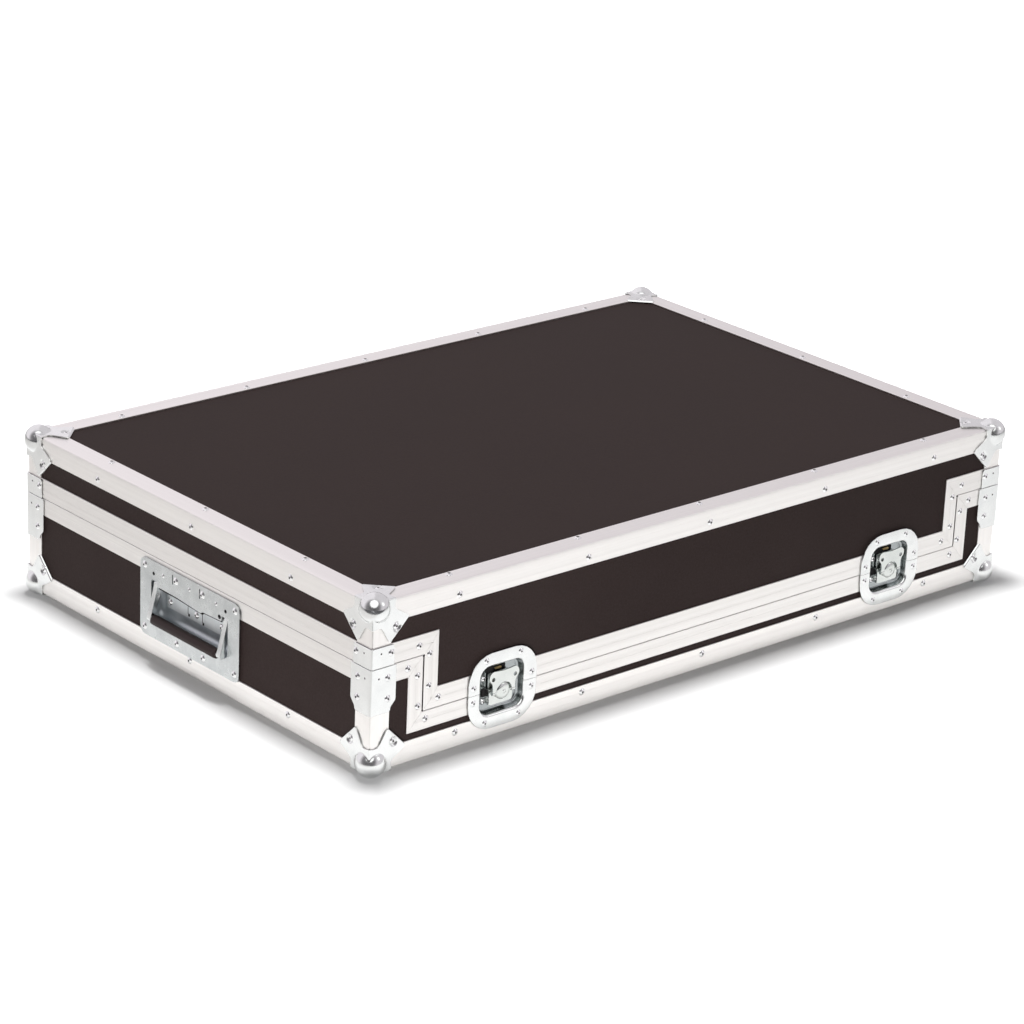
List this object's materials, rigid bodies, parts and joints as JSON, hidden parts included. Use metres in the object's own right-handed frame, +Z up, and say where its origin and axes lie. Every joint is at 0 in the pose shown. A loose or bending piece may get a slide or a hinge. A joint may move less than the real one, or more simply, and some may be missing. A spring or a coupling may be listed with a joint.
{
  "type": "dj coffin case",
  "caption": "Low flight case with aluminium edges, ball corners, a lift-off lid with a stepped front, recessed butterfly latches and sprung side handles.",
  "frame": {"origin": "centre of the bounding box at the level of the standing surface, under the lower ball corners", "axes": "+X to the right along the long front, +Y from the front to the back, +Z up"},
  "size_m": [0.8414, 0.5556, 0.1786],
  "materials": {
    "laminated_panel": "brown-black phenolic laminate on plywood, fine pebbled sheen",
    "aluminium_extrusion": "natural anodised aluminium, faint lengthwise die lines",
    "zinc_hardware": "bright zinc plated pressed steel",
    "handle_grip": "dark brown moulded grip sleeve",
    "foam_lining": "charcoal closed-cell foam"
  },
  "bodies": {
    "base": {"base_floor_panel": "laminated_panel", "base_front_panel": "laminated_panel", "base_back_panel": "laminated_panel", "base_left_panel": "laminated_panel", "base_right_panel": "laminated_panel", "base_edge_extrusion": "aluminium_extrusion", "base_closing_extrusion": "aluminium_extrusion", "base_foam_lining": "foam_lining", "base_ball_corner_front_left": "zinc_hardware", "base_corner_brace_front_left": "zinc_hardware", "base_ball_corner_front_right": "zinc_hardware", "base_corner_brace_front_right": "zinc_hardware", "base_ball_corner_back_right": "zinc_hardware", "base_corner_brace_back_right": "zinc_hardware", "base_ball_corner_back_left": "zinc_hardware", "base_corner_brace_back_left": "zinc_hardware", "latch_front_left_lower_dish": "zinc_hardware", "latch_front_right_lower_dish": "zinc_hardware", "latch_back_left_lower_dish": "zinc_hardware", "latch_back_right_lower_dish": "zinc_hardware", "handle_left_dish": "zinc_hardware", "handle_left_axle": "zinc_hardware", "handle_right_dish": "zinc_hardware", "handle_right_axle": "zinc_hardware"},
    "lid": {"lid_roof_panel": "laminated_panel", "lid_front_panel": "laminated_panel", "lid_back_panel": "laminated_panel", "lid_left_panel": "laminated_panel", "lid_right_panel": "laminated_panel", "lid_edge_extrusion": "aluminium_extrusion", "lid_closing_extrusion": "aluminium_extrusion", "lid_foam_lining": "foam_lining", "lid_ball_corner_front_left": "zinc_hardware", "lid_corner_brace_front_left": "zinc_hardware", "lid_ball_corner_front_right": "zinc_hardware", "lid_corner_brace_front_right": "zinc_hardware", "lid_ball_corner_back_right": "zinc_hardware", "lid_corner_brace_back_right": "zinc_hardware", "lid_ball_corner_back_left": "zinc_hardware", "lid_corner_brace_back_left": "zinc_hardware", "latch_front_left_upper_dish": "zinc_hardware", "latch_front_right_upper_dish": "zinc_hardware", "latch_back_left_upper_dish": "zinc_hardware", "latch_back_right_upper_dish": "zinc_hardware"},
    "handle_left": {"handle_left_bail": "zinc_hardware", "handle_left_grip": "handle_grip"},
    "handle_right": {"handle_right_bail": "zinc_hardware", "handle_right_grip": "handle_grip"},
    "front_left_hook": {"latch_front_left_hook": "zinc_hardware"},
    "front_left_spindle": {"latch_front_left_spindle": "zinc_hardware"},
    "front_left_wing": {"latch_front_left_wing": "zinc_hardware"},
    "front_right_hook": {"latch_front_right_hook": "zinc_hardware"},
    "front_right_spindle": {"latch_front_right_spindle": "zinc_hardware"},
    "front_right_wing": {"latch_front_right_wing": "zinc_hardware"},
    "back_left_hook": {"latch_back_left_hook": "zinc_hardware"},
    "back_left_spindle": {"latch_back_left_spindle": "zinc_hardware"},
    "back_left_wing": {"latch_back_left_wing": "zinc_hardware"},
    "back_right_hook": {"latch_back_right_hook": "zinc_hardware"},
    "back_right_spindle": {"latch_back_right_spindle": "zinc_hardware"},
    "back_right_wing": {"latch_back_right_wing": "zinc_hardware"}
  },
  "joints": [
    {"name": "lid_lift", "type": "slide", "parent": "base", "child": "lid", "axis": [0, 0, 1], "range_m": [0, 0.25]},
    {"name": "handle_left_swing", "type": "hinge", "parent": "base", "child": "handle_left", "pos_m": [-0.407, 0, 0.0818], "axis": [0, 1, 0], "range_deg": [0, 75.5], "stiffness_Nm_per_rad": 0.15, "springref_deg": -28.65},
    {"name": "handle_right_swing", "type": "hinge", "parent": "base", "child": "handle_right", "pos_m": [0.407, 0, 0.0818], "axis": [0, -1, 0], "range_deg": [0, 75.5], "stiffness_Nm_per_rad": 0.15, "springref_deg": -28.65},
    {"name": "front_left_latch_turn", "type": "hinge", "parent": "base", "child": "front_left_spindle", "pos_m": [-0.2555, -0.271, 0.0503], "axis": [0, -1, 0], "range_deg": [0, 180]},
    {"name": "front_left_hook_slide", "type": "slide", "parent": "base", "child": "front_left_hook", "axis": [0, 0, 1], "range_m": [0, 0.00801]},
    {"name": "front_left_wing_fold", "type": "hinge", "parent": "front_left_spindle", "child": "front_left_wing", "pos_m": [-0.2555, -0.2726, 0.0503], "axis": [1, 0, 0], "range_deg": [0, 90], "stiffness_Nm_per_rad": 0.004, "springref_deg": -34.38},
    {"name": "front_right_latch_turn", "type": "hinge", "parent": "base", "child": "front_right_spindle", "pos_m": [0.2555, -0.271, 0.0503], "axis": [0, -1, 0], "range_deg": [0, 180]},
    {"name": "front_right_hook_slide", "type": "slide", "parent": "base", "child": "front_right_hook", "axis": [0, 0, 1], "range_m": [0, 0.00801]},
    {"name": "front_right_wing_fold", "type": "hinge", "parent": "front_right_spindle", "child": "front_right_wing", "pos_m": [0.2555, -0.2726, 0.0503], "axis": [1, 0, 0], "range_deg": [0, 90], "stiffness_Nm_per_rad": 0.004, "springref_deg": -34.38},
    {"name": "back_left_latch_turn", "type": "hinge", "parent": "base", "child": "back_left_spindle", "pos_m": [-0.2555, 0.271, 0.1058], "axis": [0, 1, 0], "range_deg": [0, 180]},
    {"name": "back_left_hook_slide", "type": "slide", "parent": "base", "child": "back_left_hook", "axis": [0, 0, 1], "range_m": [0, 0.00801]},
    {"name": "back_left_wing_fold", "type": "hinge", "parent": "back_left_spindle", "child": "back_left_wing", "pos_m": [-0.2555, 0.2726, 0.1058], "axis": [-1, 0, 0], "range_deg": [0, 90], "stiffness_Nm_per_rad": 0.004, "springref_deg": -34.38},
    {"name": "back_right_latch_turn", "type": "hinge", "parent": "base", "child": "back_right_spindle", "pos_m": [0.2555, 0.271, 0.1058], "axis": [0, 1, 0], "range_deg": [0, 180]},
    {"name": "back_right_hook_slide", "type": "slide", "parent": "base", "child": "back_right_hook", "axis": [0, 0, 1], "range_m": [0, 0.00801]},
    {"name": "back_right_wing_fold", "type": "hinge", "parent": "back_right_spindle", "child": "back_right_wing", "pos_m": [0.2555, 0.2726, 0.1058], "axis": [-1, 0, 0], "range_deg": [0, 90], "stiffness_Nm_per_rad": 0.004, "springref_deg": -34.38}
  ],
  "couplings": [
    {"joint": "front_left_hook_slide", "follows": "front_left_latch_turn", "m_per_rad": 0.0025465},
    {"joint": "front_right_hook_slide", "follows": "front_right_latch_turn", "m_per_rad": 0.0025465},
    {"joint": "back_left_hook_slide", "follows": "back_left_latch_turn", "m_per_rad": 0.0025465},
    {"joint": "back_right_hook_slide", "follows": "back_right_latch_turn", "m_per_rad": 0.0025465}
  ]
}
